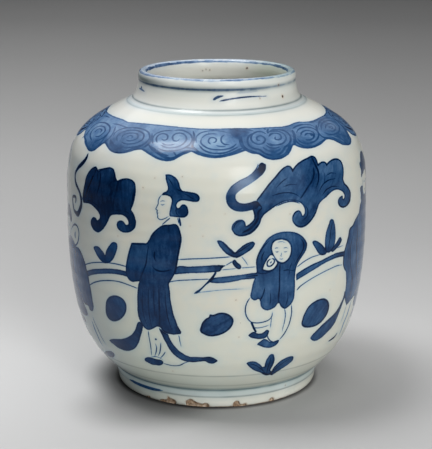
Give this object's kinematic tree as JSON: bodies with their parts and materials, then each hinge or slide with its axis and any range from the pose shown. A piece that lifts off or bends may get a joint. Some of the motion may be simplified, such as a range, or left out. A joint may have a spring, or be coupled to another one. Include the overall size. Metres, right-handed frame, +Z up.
{
  "type": "storage jar",
  "caption": "Small wide-shouldered porcelain jar, underglaze blue garden figures, short neck with rolled lip, recessed base on a turned foot ring; open mouth, no lid.",
  "frame": {"origin": "centre of the standing plane, on the jar's axis", "axes": "+Z up along the axis of the jar; -Y is the side that the picture shows"},
  "size_m": [0.139, 0.139, 0.1475],
  "materials": {
    "glaze_body": "warm grey-white transparent glaze over cobalt-blue painting",
    "glaze_neck": "grey-white glaze, green-grey where it pools, blue lines at lip and neck",
    "glaze_foot": "bluish glaze wiped from the standing edge, chipped to brown clay",
    "glaze_base": "plain unmarked glazed base",
    "luting_slip": "slip smoothed over the inside joints, thin glaze"
  },
  "bodies": {
    "root": {"foot_ring": "glaze_foot", "base_disc": "glaze_base", "foot_luting": "luting_slip", "lower_body": "glaze_body", "waist_luting": "luting_slip", "upper_body": "glaze_body", "neck_luting": "luting_slip", "neck": "glaze_neck"}
  },
  "joints": []
}
